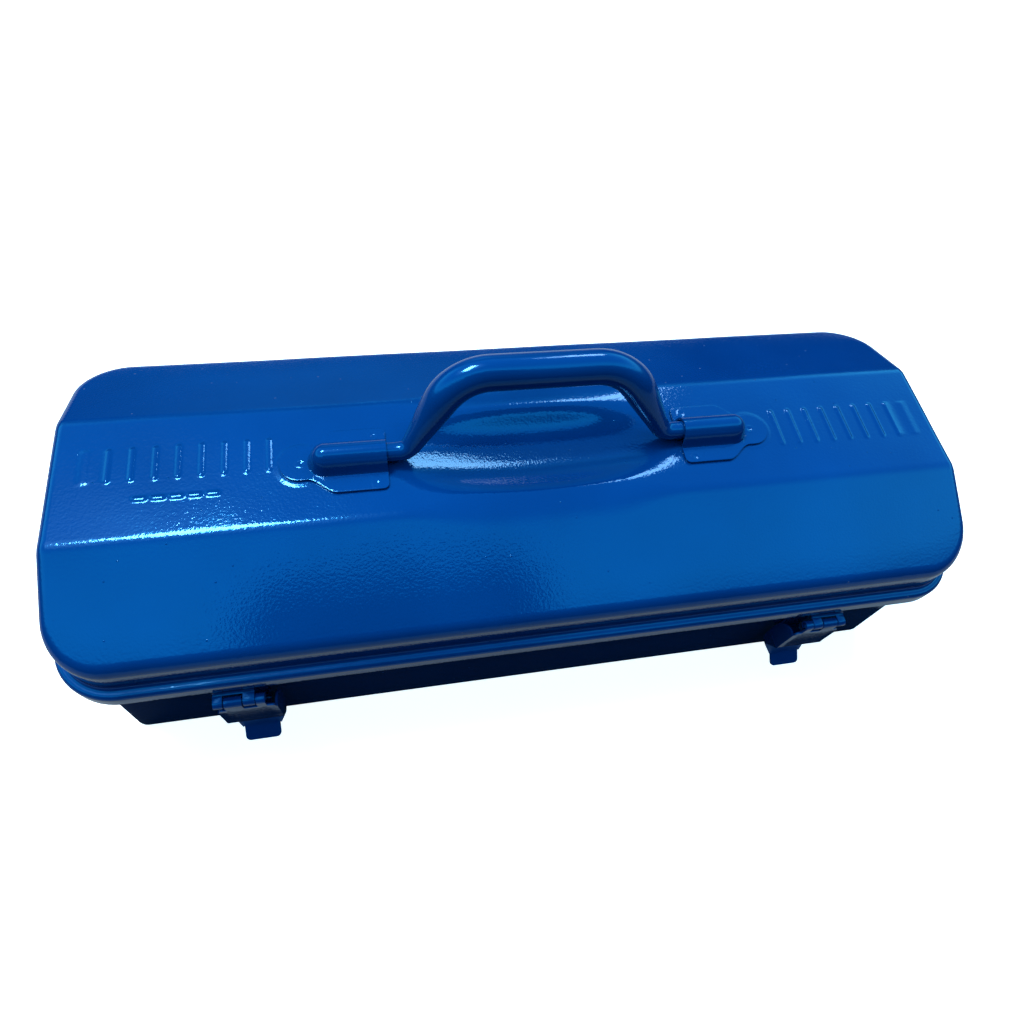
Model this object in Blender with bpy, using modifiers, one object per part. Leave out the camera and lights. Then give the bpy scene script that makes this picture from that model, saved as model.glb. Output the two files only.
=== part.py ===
"""Sheet-steel tool box with a camber-top lid, a bent carry handle, two latches and two hinges.

X runs along the box, -Y is the latch side, +Y the hinge side and Z is up. The base stands on z = 0.
Lengths below are millimetres; every mesh is built in millimetres and scaled once by MM.
"""

import math

import bmesh
import bpy
from mathutils import Matrix, Vector

MM = 0.001
SHEET = 0.8
GAP = 0.3

# Lid, measured on its outer skin
LID_HALF_L = 201.5
LID_HALF_W = 75.9
LID_CORNER_R = 22.0
LID_EDGE_R = 4.5
LID_TOP_Z = 112.9
CREASE_Y = 29.15
CREASE_BLEND = 4.0
CAMBER_SLOPE = math.tan(math.radians(22.5))
LEDGE_Z = 77.0
LEDGE_OUT = 4.5
LEDGE_R = 2.2
SKIRT_Z = 69.0
SKIRT_Y = LID_HALF_W + LEDGE_OUT

# Dished hand recess in the top panel
DISH_HALF_L = 64.0
DISH_HALF_W = 19.0
DISH_POWER = 2.8
DISH_DEPTH = 7.5
DISH_RIM = (0.2, 0.25)

# Base tray, measured on its outer skin
BASE_HALF_L = 197.9
BASE_HALF_W = 72.3
BASE_CORNER_R = 16.0
BASE_FOOT_CORNER_R = 7.0
BASE_EDGE_R = 3.0
RIM_OUT = 4.6
RIM_Z = LEDGE_Z - 2.0 * SHEET - GAP

# Handle
HANDLE_Y = -1.0
HANDLE_AXIS_Z = 117.8
HANDLE_LEAN = math.radians(24.0)
HANDLE_END_R = 4.1
HANDLE_GRIP_R = 7.6
HANDLE_END_X = 93.0
HANDLE_FOOT_X = 57.6
HANDLE_TOP_X = 35.9
HANDLE_REACH = 34.0
HANDLE_FOOT_BEND = 7.0
HANDLE_TOP_BEND = 25.0

# Handle brackets
BRACKET_MOUTH_X = 66.5
BRACKET_SHOULDER_X = 89.5
BRACKET_NOSE_X = 110.8
BRACKET_HALF_W = 15.4
BRACKET_NOSE_R = 8.2
BRACKET_T = 1.0
SOCKET_R = HANDLE_END_R + 0.5
SOCKET_END_X = 96.5
SOCKET_FOOT = 2.6

# Curled hinge knuckles, shared by latches and hinges
CURL_R = 1.9
LEAF_T = 1.0
PIN_R = 1.1
KNUCKLE_GAP = 0.35

# Latches: distances along X are measured from the middle of the box
LATCH_AXIS_Y = -82.9
LATCH_AXIS_Z = 61.0
STRAP_X = (130.4, 135.6, 143.1, 147.4)
LEVER_X = (123.0, 134.8, 146.4)
LEVER_INNER_KNUCKLE_X = (126.4, STRAP_X[0] - KNUCKLE_GAP)
TAB_HALF_W = 8.0
STRAP_TOP_Z = 74.4
STRAP_BEND = 1.6
KEEPER_X = (128.5, 141.5)

# Hinges
HINGE_X = 128.0
HINGE_HALF_W = 20.0
HINGE_KNUCKLE_X = 7.0
HINGE_AXIS_Y = 82.9
HINGE_AXIS_Z = 65.0

BLUE = (0.0, 0.09, 0.36, 1.0)


def clear_scene():
    for existing in list(bpy.data.objects):
        bpy.data.objects.remove(existing, do_unlink=True)


def paint(name):
    """One glossy blue enamel per piece."""
    material = bpy.data.materials.new(name + "_enamel")
    material.use_nodes = True
    shader = material.node_tree.nodes["Principled BSDF"]
    shader.inputs["Base Color"].default_value = BLUE
    shader.inputs["Roughness"].default_value = 0.15
    shader.inputs["Coat Weight"].default_value = 0.6
    return material


def add_object(name, bm, collection, origin=(0.0, 0.0, 0.0), turn_x=0.0, smooth_angle=35.0):
    """Turn a millimetre bmesh in world position into an object whose origin is at `origin`."""
    bmesh.ops.translate(bm, verts=bm.verts, vec=-Vector(origin))
    if turn_x:
        bmesh.ops.rotate(bm, verts=bm.verts, matrix=Matrix.Rotation(-turn_x, 3, "X"))
    bmesh.ops.scale(bm, vec=(MM, MM, MM), verts=bm.verts)
    mesh = bpy.data.meshes.new(name)
    bm.to_mesh(mesh)
    bm.free()
    mesh.shade_smooth()
    mesh.set_sharp_from_angle(angle=math.radians(smooth_angle))
    mesh.materials.append(paint(name))
    piece = bpy.data.objects.new(name, mesh)
    piece.location = Vector(origin) * MM
    piece.rotation_euler.x = turn_x
    collection.objects.link(piece)
    return piece


def thicken(piece, thickness, offset):
    """Solidify an open skin; offset -1 grows behind the normals, 0 on both sides, 1 in front."""
    modifier = piece.modifiers.new("Sheet", "SOLIDIFY")
    modifier.thickness = thickness * MM
    modifier.offset = offset
    modifier.use_even_offset = True
    modifier.use_quality_normals = True


def smooth_step(value):
    clamped = min(1.0, max(0.0, value))
    return clamped * clamped * (3.0 - 2.0 * clamped)


def outline_frame(x, y, half_l, half_w, radius):
    """Corner centre and outward plan direction for a point on a rounded rectangle."""
    centre = Vector((max(-half_l + radius, min(half_l - radius, x)),
                     max(-half_w + radius, min(half_w - radius, y))))
    away = Vector((x, y)) - centre
    return centre, away.normalized()


def rounded_rectangle(half_l, half_w, radius, steps):
    """Plan points of a rounded rectangle, counter-clockwise seen from above."""
    points = []
    corners = ((1, 1, 0.0), (-1, 1, 90.0), (-1, -1, 180.0), (1, -1, 270.0))
    for sign_x, sign_y, start in corners:
        for k in range(steps + 1):
            angle = math.radians(start + 90.0 * k / steps)
            points.append((sign_x * (half_l - radius) + radius * math.cos(angle),
                           sign_y * (half_w - radius) + radius * math.sin(angle)))
    return points


def bridge_loops(bm, lower, upper):
    """Quads between two vertex loops of equal length; outward when lower runs counter-clockwise."""
    count = len(lower)
    for i in range(count):
        j = (i + 1) % count
        bm.faces.new((lower[i], lower[j], upper[j], upper[i]))


def base_corner_r(height):
    """Plan corner radius of the tray, tighter at the floor than at the rim."""
    return BASE_FOOT_CORNER_R + (BASE_CORNER_R - BASE_FOOT_CORNER_R) * height / RIM_Z


def base_rings():
    """(outward offset, height) pairs from the floor up over the rim."""
    rings = []
    for k in range(5):
        angle = math.radians(90.0 * k / 4)
        rings.append((BASE_EDGE_R * (math.sin(angle) - 1.0), BASE_EDGE_R * (1.0 - math.cos(angle))))
    rings.append((0.0, RIM_Z - 1.5))
    rings.append((0.6, RIM_Z - 0.3))
    rings.append((1.8, RIM_Z))
    rings.append((RIM_OUT, RIM_Z))
    return rings


def make_base(collection):
    bm = bmesh.new()
    loops = []
    for offset, height in base_rings():
        corner_r = base_corner_r(height)
        loop = []
        for x, y in rounded_rectangle(BASE_HALF_L, BASE_HALF_W, corner_r, 6):
            centre, away = outline_frame(x, y, BASE_HALF_L, BASE_HALF_W, corner_r)
            spot = centre + away * (corner_r + offset)
            loop.append(bm.verts.new((spot.x, spot.y, height)))
        loops.append(loop)
    bm.faces.new(list(reversed(loops[0])))
    for lower, upper in zip(loops, loops[1:]):
        bridge_loops(bm, lower, upper)
    piece = add_object("base_tray", bm, collection)
    thicken(piece, SHEET, -1.0)
    return piece


def camber_height(x, y):
    """Outer height of the lid's roof: flat top, blended crease, slope and the dished recess."""
    across = abs(y)
    near = smooth_step((DISH_HALF_L - abs(x)) / 40.0)
    blend = CREASE_BLEND + 4.0 * near
    start = CREASE_Y - blend
    if across <= start:
        height = LID_TOP_Z
    elif across < CREASE_Y + blend:
        height = LID_TOP_Z - CAMBER_SLOPE * (across - start) ** 2 / (4.0 * blend)
    else:
        height = LID_TOP_Z - CAMBER_SLOPE * (across - CREASE_Y)
    middle = max(0.0, 1.0 - (x / DISH_HALF_L) ** 2)
    inside = 1.0 - (x / DISH_HALF_L) ** 2 - (across / DISH_HALF_W) ** DISH_POWER
    rim = DISH_RIM[0] + DISH_RIM[1] * middle
    dish = 0.5 * (inside + math.sqrt(inside ** 2 + rim ** 2)) * smooth_step((inside + 0.9) / 0.8)
    return height - DISH_DEPTH * dish


def lid_stations():
    """Lengthwise stations with the roof's half-width, and the shared crosswise stations."""
    half_l = LID_HALF_L - LID_EDGE_R
    half_w = LID_HALF_W - LID_EDGE_R
    radius = LID_CORNER_R - LID_EDGE_R
    along = []
    for x in (0.0, 10.0, 20.0, 30.0, 38.0, 46.0, 54.0, 64.0, 120.0):
        along.append((x, half_w))
    for k in range(6):
        angle = math.radians(18.0 * k)
        along.append((half_l - radius + radius * math.sin(angle), half_w - radius + radius * math.cos(angle)))
    along = [(-x, w) for x, w in reversed(along[1:])] + along
    across = [0.0, 5.5, 11.0, 16.5, 22.0, 27.0, 33.2, 50.0]
    across = [-y for y in reversed(across[1:])] + across
    return along, across


def lid_roof(bm):
    """Grid of the roof inside the edge rounding; returns its boundary, counter-clockwise."""
    along, across = lid_stations()
    columns = []
    for x, half_w in along:
        ys = [-half_w] + across + [half_w]
        columns.append([bm.verts.new((x, y, camber_height(x, y))) for y in ys])
    for left, right in zip(columns, columns[1:]):
        for j in range(len(left) - 1):
            bm.faces.new((left[j], right[j], right[j + 1], left[j + 1]))
    front = [column[0] for column in columns]
    right_end = columns[-1][1:-1]
    back = [column[-1] for column in reversed(columns)]
    left_end = list(reversed(columns[0][1:-1]))
    return front + right_end + back + left_end


def lid_rings():
    """(offset from the wall, height or None, drop below the roof) from the roof edge down."""
    rings = []
    for angle in (30.0, 60.0, 90.0):
        turn = math.radians(angle)
        rings.append((LID_EDGE_R * (math.sin(turn) - 1.0), None, LID_EDGE_R * (1.0 - math.cos(turn))))
    rings.append((0.0, LEDGE_Z + 1.5, 0.0))
    rings.append((0.5, LEDGE_Z + 0.3, 0.0))
    rings.append((1.6, LEDGE_Z, 0.0))
    for angle in (0.0, 45.0, 90.0):
        turn = math.radians(angle)
        out = LEDGE_OUT - LEDGE_R + LEDGE_R * math.sin(turn)
        rings.append((out, LEDGE_Z - LEDGE_R * (1.0 - math.cos(turn)), 0.0))
    rings.append((LEDGE_OUT, SKIRT_Z, 0.0))
    return rings


def make_lid(collection):
    bm = bmesh.new()
    edge = lid_roof(bm)
    inner = (LID_HALF_L - LID_EDGE_R, LID_HALF_W - LID_EDGE_R, LID_CORNER_R - LID_EDGE_R)
    frames = [outline_frame(v.co.x, v.co.y, *inner) for v in edge]
    upper = edge
    for offset, height, drop in lid_rings():
        loop = []
        for centre, away in frames:
            spot = centre + away * (LID_CORNER_R + offset)
            level = height if height is not None else camber_height(spot.x, spot.y) - drop
            loop.append(bm.verts.new((spot.x, spot.y, level)))
        bridge_loops(bm, loop, upper)
        upper = loop
    piece = add_object("lid_shell", bm, collection, origin=(0.0, HINGE_AXIS_Y, HINGE_AXIS_Z))
    thicken(piece, SHEET, -1.0)
    return piece


def rounded_path(corners, bends, steps=6):
    """Polyline through 2D corners with each inner corner replaced by an arc of its bend radius."""
    path = [Vector(corners[0])]
    for before, corner, after, bend in zip(corners, corners[1:], corners[2:], bends):
        corner = Vector(corner)
        back = (Vector(before) - corner).normalized()
        ahead = (Vector(after) - corner).normalized()
        half = 0.5 * back.angle(ahead)
        reach = bend / math.tan(half)
        centre = corner + (back + ahead).normalized() * (bend / math.sin(half))
        start = corner + back * reach - centre
        finish = corner + ahead * reach - centre
        sweep = start.angle(finish)
        turn = 1.0 if start.x * finish.y - start.y * finish.x > 0.0 else -1.0
        for k in range(steps + 1):
            path.append(centre + Matrix.Rotation(turn * sweep * k / steps, 2) @ start)
    path.append(Vector(corners[-1]))
    return path


def make_handle(collection):
    """Tube swept along its bent path; the thin ends lie on the hinge axis."""
    corners = [(-HANDLE_END_X, 0.0), (-HANDLE_FOOT_X, 0.0), (-HANDLE_TOP_X, HANDLE_REACH),
               (HANDLE_TOP_X, HANDLE_REACH), (HANDLE_FOOT_X, 0.0), (HANDLE_END_X, 0.0)]
    bends = (HANDLE_FOOT_BEND, HANDLE_TOP_BEND, HANDLE_TOP_BEND, HANDLE_FOOT_BEND)
    path = rounded_path(corners, bends)
    bm = bmesh.new()
    sides = 14
    loops = []
    for i, point in enumerate(path):
        ahead = path[min(i + 1, len(path) - 1)] - path[max(i - 1, 0)]
        normal = Vector((-ahead.y, ahead.x)).normalized()
        swell = min(1.0, max(0.0, point.y / (0.75 * HANDLE_REACH)))
        radius = HANDLE_END_R + (HANDLE_GRIP_R - HANDLE_END_R) * swell
        loop = []
        for k in range(sides):
            angle = 2.0 * math.pi * k / sides
            lift = normal * radius * math.cos(angle)
            loop.append(bm.verts.new((point.x + lift.x, radius * math.sin(angle), point.y + lift.y)))
        loops.append(loop)
    for first, second in zip(loops, loops[1:]):
        bridge_loops(bm, first, second)
    bm.faces.new(list(reversed(loops[0])))
    bm.faces.new(loops[-1])
    bmesh.ops.recalc_face_normals(bm, faces=bm.faces)
    turned = Matrix.Rotation(-HANDLE_LEAN, 3, "X")
    bmesh.ops.rotate(bm, verts=bm.verts, matrix=turned)
    axis = (0.0, HANDLE_Y, HANDLE_AXIS_Z)
    bmesh.ops.translate(bm, verts=bm.verts, vec=axis)
    return add_object("handle_tube", bm, collection, origin=axis, turn_x=-HANDLE_LEAN)


def bracket_half_width(x):
    """Half-width of the bracket's plan at distance x from the middle of the box."""
    corner = 2.5
    mouth = x - BRACKET_MOUTH_X
    if mouth < corner:
        return BRACKET_HALF_W - corner + math.sqrt(corner ** 2 - (corner - mouth) ** 2)
    nose_centre = BRACKET_NOSE_X - BRACKET_NOSE_R
    if x > nose_centre:
        return math.sqrt(max(0.0, BRACKET_NOSE_R ** 2 - (x - nose_centre) ** 2))
    fade = smooth_step((x - BRACKET_SHOULDER_X + 2.0) / (nose_centre - BRACKET_SHOULDER_X - 1.0))
    return BRACKET_HALF_W + (BRACKET_NOSE_R - BRACKET_HALF_W) * fade


def socket_height(x, y):
    """Height of the pressed socket's inner skin above the flat of the bracket."""
    rise = HANDLE_AXIS_Z + SOCKET_R - (LID_TOP_Z + GAP)
    along = max(0.0, x - (SOCKET_END_X - SOCKET_R))
    reach = math.hypot(along, y)
    if reach < SOCKET_R * 0.85:
        return rise - SOCKET_R + math.sqrt(SOCKET_R ** 2 - reach ** 2)
    knee = SOCKET_R * 0.85
    shoulder = rise - SOCKET_R + math.sqrt(SOCKET_R ** 2 - knee ** 2)
    outside = SOCKET_R + 0.1 + SOCKET_FOOT
    return shoulder * (1.0 - smooth_step((reach - knee) / (outside - knee)))


def make_bracket(side, name, collection):
    """Spot-welded plate whose middle is pressed up into a half-round socket."""
    bm = bmesh.new()
    along = [BRACKET_MOUTH_X + d for d in (0.0, 0.5, 2.5, 12.0, 22.0, 25.4, 27.0, 28.5, 29.7, 31.0, 32.6)]
    nose = BRACKET_NOSE_X - BRACKET_NOSE_R
    along += [nose + BRACKET_NOSE_R * f for f in (0.0, 0.4, 0.7, 0.9, 0.99)]
    across = [0.0, 2.0, 3.4, 4.2, 5.2, 6.4, 7.8]
    columns = []
    for x in along:
        half_w = bracket_half_width(x)
        scale = min(1.0, half_w / 9.0)
        ys = [y * scale for y in across] + [half_w]
        ys = [-y for y in reversed(ys[1:])] + ys
        columns.append([bm.verts.new((x, HANDLE_Y + y, LID_TOP_Z + GAP + socket_height(x, y))) for y in ys])
    for left, right in zip(columns, columns[1:]):
        for j in range(len(left) - 1):
            bm.faces.new((left[j], right[j], right[j + 1], left[j + 1]))
    mirror_to_side(bm, side)
    piece = add_object(name, bm, collection)
    thicken(piece, BRACKET_T, 1.0)
    return piece


def mirror_to_side(bm, side):
    """Meshes are built at positive X; side -1 mirrors them to the left end."""
    if side < 0:
        bmesh.ops.scale(bm, vec=(-1.0, 1.0, 1.0), verts=bm.verts)
        bmesh.ops.reverse_faces(bm, faces=bm.faces)


def curl(axis, start, sweep, steps=10):
    """Arc points (y, z) of a knuckle's mid-skin around the axis, angles in degrees from +Y."""
    points = []
    for k in range(steps + 1):
        angle = math.radians(start + sweep * k / steps)
        points.append((axis[0] + CURL_R * math.cos(angle), axis[1] + CURL_R * math.sin(angle)))
    return points


def bent_sheet(bm, profile, columns, keep):
    """Skin bent along a (y, z) profile; keep(x, row) says which patches of metal exist."""
    grid = {}

    def corner(i, j):
        if (i, j) not in grid:
            y, z = profile[j]
            grid[i, j] = bm.verts.new((columns[i], y, z))
        return grid[i, j]

    for i in range(len(columns) - 1):
        middle = 0.5 * (columns[i] + columns[i + 1])
        for j in range(len(profile) - 1):
            if keep(middle, j):
                bm.faces.new((corner(i, j), corner(i + 1, j), corner(i + 1, j + 1), corner(i, j + 1)))
    return grid


def make_strap(side, name, collection):
    """Latch leaf inside the lid skirt, bent out below its edge into two curled knuckles."""
    plate_y = -(SKIRT_Y - SHEET - GAP - 0.5 * LEAF_T)
    shelf_z = LATCH_AXIS_Z + CURL_R
    corners = [(plate_y, STRAP_TOP_Z), (plate_y, shelf_z), (LATCH_AXIS_Y, shelf_z)]
    plate = [tuple(p) for p in rounded_path(corners, (STRAP_BEND,), 4)][:-1]
    bend_rows = len(plate) - 1
    profile = plate + curl((LATCH_AXIS_Y, LATCH_AXIS_Z), 90.0, 280.0)
    x0, x1, x2, x3 = STRAP_X
    columns = [x0, x1 - KNUCKLE_GAP, x2 + KNUCKLE_GAP, x3]

    def keep(x, row):
        return row < bend_rows or x < x1 - KNUCKLE_GAP or x > x2 + KNUCKLE_GAP

    bm = bmesh.new()
    bent_sheet(bm, profile, columns, keep)
    mirror_to_side(bm, side)
    piece = add_object(name, bm, collection)
    thicken(piece, LEAF_T, 0.0)
    return piece


def lever_profile():
    """(y, z) mid-skin of the lever: curl, upright face, inward hook and flared finger tab."""
    axis = (LATCH_AXIS_Y, LATCH_AXIS_Z)
    rolled = curl(axis, -110.0, 290.0)
    face_y = LATCH_AXIS_Y - CURL_R
    face = [(face_y, LATCH_AXIS_Z - 4.0), (face_y - 0.1, 47.5), (face_y - 0.3, 37.5)]
    hook = [(face_y + 0.4, 33.5), (face_y + 3.0, 29.8), (face_y + 5.4, 27.3), (face_y + 5.9, 25.0),
            (face_y + 4.4, 22.4)]
    tab = [(face_y + 1.6, 20.4), (face_y - 4.6, 16.2)]
    return rolled, face, hook, tab


def make_lever(side, name, collection):
    """Pressed lever: two rolled knuckles, an upright face, D-shaped side ears and a finger tab."""
    rolled, face, hook, tab = lever_profile()
    profile = rolled + face + hook + tab
    face_row = len(rolled)
    tab_row = face_row + len(face) + len(hook)
    inner, middle, outer = LEVER_X
    knuckles = (LEVER_INNER_KNUCKLE_X, (STRAP_X[1] + GAP * 0.5, STRAP_X[2] - GAP * 0.5))
    columns = sorted({inner, outer, middle - TAB_HALF_W, middle + TAB_HALF_W,
                      *knuckles[0], *knuckles[1]})

    def keep(x, row):
        if row < face_row:
            return any(low < x < high for low, high in knuckles)
        if row >= tab_row - 1:
            return abs(x - middle) < TAB_HALF_W
        return True

    bm = bmesh.new()
    grid = bent_sheet(bm, profile, columns, keep)
    ear_rows = range(face_row + 1, tab_row)
    reach = (3.0, 7.6, 9.2, 7.6, 5.0, 3.6, 2.2)
    for column in (0, len(columns) - 1):
        rims = []
        for row, depth in zip(ear_rows, reach):
            root = grid[column, row].co
            rims.append(bm.verts.new((root.x, root.y + depth, root.z)))
        for k in range(len(rims) - 1):
            row = ear_rows[k]
            quad = (grid[column, row], grid[column, row + 1], rims[k + 1], rims[k])
            bm.faces.new(quad if column == 0 else tuple(reversed(quad)))
    bmesh.ops.recalc_face_normals(bm, faces=bm.faces)
    mirror_to_side(bm, side)
    axis = (side * middle, LATCH_AXIS_Y, LATCH_AXIS_Z)
    piece = add_object(name, bm, collection, origin=axis)
    thicken(piece, LEAF_T, 0.0)
    return piece


def make_keeper(side, name, collection):
    """Hook plate on the base wall that the lever's inward bend sits under."""
    wall_y = -(BASE_HALF_W + GAP + 0.5 * LEAF_T)
    profile = [(wall_y, 46.0), (wall_y, 34.5), (wall_y - 0.7, 32.7), (wall_y - 2.2, 32.0),
               (wall_y - 6.2, 32.0)]
    bm = bmesh.new()
    bent_sheet(bm, profile, list(KEEPER_X), lambda x, row: True)
    mirror_to_side(bm, side)
    piece = add_object(name, bm, collection)
    thicken(piece, LEAF_T, 0.0)
    return piece


def make_pin(name, collection, x_from, x_to, axis_y, axis_z):
    bm = bmesh.new()
    length = abs(x_to - x_from)
    bmesh.ops.create_cone(bm, cap_ends=True, segments=16, radius1=PIN_R, radius2=PIN_R, depth=length)
    bmesh.ops.rotate(bm, verts=bm.verts, matrix=Matrix.Rotation(math.pi / 2.0, 3, "Y"))
    bmesh.ops.translate(bm, verts=bm.verts, vec=(0.5 * (x_from + x_to), axis_y, axis_z))
    return add_object(name, bm, collection)


def make_hinge(side, label, collection):
    """Butt hinge on the back: lid leaf with two knuckles, base leaf with one, and the pin."""
    axis = (HINGE_AXIS_Y, HINGE_AXIS_Z)
    low, high = HINGE_X - HINGE_HALF_W, HINGE_X + HINGE_HALF_W
    split = (HINGE_X - HINGE_KNUCKLE_X, HINGE_X + HINGE_KNUCKLE_X)
    plate_y = HINGE_AXIS_Y - CURL_R
    lid_profile = [(plate_y, STRAP_TOP_Z), (plate_y, HINGE_AXIS_Z + 3.2)] + curl(axis, 180.0, 290.0)
    columns = [low, split[0] - KNUCKLE_GAP, split[1] + KNUCKLE_GAP, high]

    def lid_keep(x, row):
        return row == 0 or not split[0] - KNUCKLE_GAP < x < split[1] + KNUCKLE_GAP

    bm = bmesh.new()
    bent_sheet(bm, lid_profile, columns, lid_keep)
    mirror_to_side(bm, side)
    lid_leaf = add_object("hinge_lid_leaf_" + label, bm, collection)
    thicken(lid_leaf, LEAF_T, 0.0)

    wall_y = BASE_HALF_W + GAP + 0.5 * LEAF_T
    arm_z = HINGE_AXIS_Z - CURL_R
    base_profile = [(wall_y, 42.0), (wall_y, arm_z - 2.0), (wall_y + 0.6, arm_z - 0.6), (wall_y + 2.0, arm_z)]
    base_profile += curl(axis, -90.0, 270.0)
    columns = [low, split[0], split[1], high]

    def base_keep(x, row):
        return row == 0 or split[0] < x < split[1]

    bm = bmesh.new()
    bent_sheet(bm, base_profile, columns, base_keep)
    mirror_to_side(bm, side)
    base_leaf = add_object("hinge_base_leaf_" + label, bm, collection)
    thicken(base_leaf, LEAF_T, 0.0)

    make_pin("hinge_pin_" + label, collection, side * (low - 0.5), side * (high + 0.5), *axis)


def main():
    clear_scene()
    collection = bpy.data.collections.new("tool_box")
    bpy.context.scene.collection.children.link(collection)
    make_base(collection)
    make_lid(collection)
    make_handle(collection)
    for side, label in ((-1, "left"), (1, "right")):
        make_bracket(side, "handle_bracket_" + label, collection)
        make_strap(side, "latch_strap_" + label, collection)
        make_lever(side, "latch_lever_" + label, collection)
        make_keeper(side, "latch_keeper_" + label, collection)
        pin_ends = (side * LEVER_INNER_KNUCKLE_X[0], side * STRAP_X[3])
        make_pin("latch_pin_" + label, collection, *pin_ends, LATCH_AXIS_Y, LATCH_AXIS_Z)
        make_hinge(side, label, collection)


main()
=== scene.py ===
"""Studio picture of a sheet-steel tool box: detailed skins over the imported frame, enamel and lights."""

import math

import bmesh
import bpy
import numpy as np
from mathutils import Euler, Matrix, Vector


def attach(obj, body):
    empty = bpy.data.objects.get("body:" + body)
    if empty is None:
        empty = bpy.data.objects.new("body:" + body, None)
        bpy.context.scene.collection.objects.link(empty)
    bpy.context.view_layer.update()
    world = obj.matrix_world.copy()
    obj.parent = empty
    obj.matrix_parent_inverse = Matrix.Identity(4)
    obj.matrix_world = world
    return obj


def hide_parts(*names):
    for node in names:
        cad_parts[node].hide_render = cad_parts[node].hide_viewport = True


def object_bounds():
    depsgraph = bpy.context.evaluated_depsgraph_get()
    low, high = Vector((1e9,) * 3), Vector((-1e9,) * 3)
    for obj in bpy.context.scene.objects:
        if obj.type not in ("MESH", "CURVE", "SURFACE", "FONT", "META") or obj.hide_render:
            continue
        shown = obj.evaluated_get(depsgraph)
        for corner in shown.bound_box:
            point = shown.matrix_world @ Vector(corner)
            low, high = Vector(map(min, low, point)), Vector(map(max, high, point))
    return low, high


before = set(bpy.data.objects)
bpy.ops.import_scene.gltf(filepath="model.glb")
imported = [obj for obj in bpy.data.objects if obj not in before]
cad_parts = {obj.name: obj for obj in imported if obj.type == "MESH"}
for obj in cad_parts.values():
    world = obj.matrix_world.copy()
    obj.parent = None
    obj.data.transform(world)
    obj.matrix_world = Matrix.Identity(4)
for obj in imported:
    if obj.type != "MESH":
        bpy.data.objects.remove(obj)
CAD_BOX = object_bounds()

MM = 0.001
ENAMEL_DEEP = (0.0, 0.018, 0.088)
ENAMEL_LIGHT = (0.0, 0.024, 0.112)

# ---------------------------------------------------------------- sizes, in millimetres
SHEET = 0.8
LEAF_T = 1.0
GAP = 0.3

LID_HALF_L = 201.5
LID_HALF_W = 75.9
LID_CORNER_R = 22.0
LID_EDGE_R = 4.5
LID_TOP_Z = 112.9
CREASE_Y = 29.15
CREASE_BLEND = 2.4
CREASE_BLEND_MORE = 6.5
CAMBER_SLOPE = math.tan(math.radians(22.5))
LEDGE_Z = 77.0
LEDGE_OUT = 4.5
LEDGE_R = 2.2
SKIRT_Z = 69.0
ROUND_STEPS = 14
SIDE_STEPS = 12

DISH_HALF_L = 64.0
DISH_HALF_W = 19.0
DISH_POWER = 2.8
DISH_DEPTH = 7.5
DISH_RIM = (0.2, 0.25)
DISH_FADE_L = 40.0

BASE_HALF_L = 197.9
BASE_HALF_W = 72.3
BASE_CORNER_R = 16.0
BASE_FOOT_CORNER_R = 7.0
BASE_EDGE_R = 3.0
RIM_OUT = 4.6
RIM_Z = LEDGE_Z - 2.0 * SHEET - GAP
RIM_FILLET = 1.8

HANDLE_Y = -1.0
HANDLE_AXIS_Z = 117.8
HANDLE_LEAN = math.radians(24.0)
HANDLE_END_R = 4.1
HANDLE_GRIP_R = 7.6
HANDLE_END_X = 93.0
HANDLE_FOOT_X = 57.6
HANDLE_TOP_X = 35.9
HANDLE_REACH = 34.0
HANDLE_FOOT_BEND = 7.0
HANDLE_TOP_BEND = 25.0
HANDLE_STEP = 1.4
HANDLE_SIDES = 36
HANDLE_END_CHAMFER = 0.8

BRACKET_MOUTH_X = 66.5
BRACKET_SHOULDER_X = 89.5
BRACKET_NOSE_X = 110.8
BRACKET_HALF_W = 15.4
BRACKET_NOSE_R = 8.2
BRACKET_CORNER_R = 2.5
BRACKET_NARROW = 9.0
SOCKET_R = HANDLE_END_R + 0.5
SOCKET_END_X = 96.5
SOCKET_FOOT = 2.6
WELDS = ((71.5, 11.4), (71.5, -12.6), (102.2, 0.0))
WELD_R = 1.6
WELD_DIP = 0.22
WELD_RING = 0.10

CURL_R = 1.9
PIN_R = 1.1
KNUCKLE_GAP = 0.35
LATCH_AXIS = (-82.9, 61.0)
STRAP_X = (130.4, 135.6, 143.1, 147.4)
STRAP_TOP_Z = 74.4
STRAP_BEND = 1.6
LEVER_X = (123.0, 134.8, 146.4)
LEVER_KNUCKLES = ((126.4, STRAP_X[0] - KNUCKLE_GAP), (STRAP_X[1] + 0.15, STRAP_X[2] - 0.15))
TAB_HALF_W = 8.0
FACE_STEPS = 7
FACE_TOP_DROP = 4.0
FACE_FOOT_Z = 40.0
FACE_DRAFT = 0.1
TAB_TOP_Z = 22.5
HOOK_CORNER_Z = 32.0
EAR_SPAN = (55.0, 20.0, -75.2)
EAR_POWER = 2.6
EAR_LEAST = 0.6
HOOK_TAPER = 0.97
KEEPER_X = (128.5, 141.5)
HINGE_AXIS = (82.9, 65.0)
HINGE_X = 128.0
HINGE_HALF_W = 20.0
HINGE_KNUCKLE_X = 7.0

# Pressed beads on the top panel: one row at each end (first x, last x, front y, back y), and a
# short row of dashes (first x, last x, y)
RIB_HALF_W = 1.6
RIB_RISE = 0.5
BEAD_ROWS = ((-187.0, -115.0, 12.6, -1.6), (117.0, 188.0, 8.4, -9.4))
BEAD_COUNT = 9
DASH_ROW = (-165.0, -137.0, -11.2)
DASH_COUNT = 5
DASH_LENGTH = 3.6

# Low pad round the nose of each bracket
PAD_MARGIN = 2.0
PAD_SLOPE = 1.4
PAD_RISE = 0.2
PAD_START_X = 96.0

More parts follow.
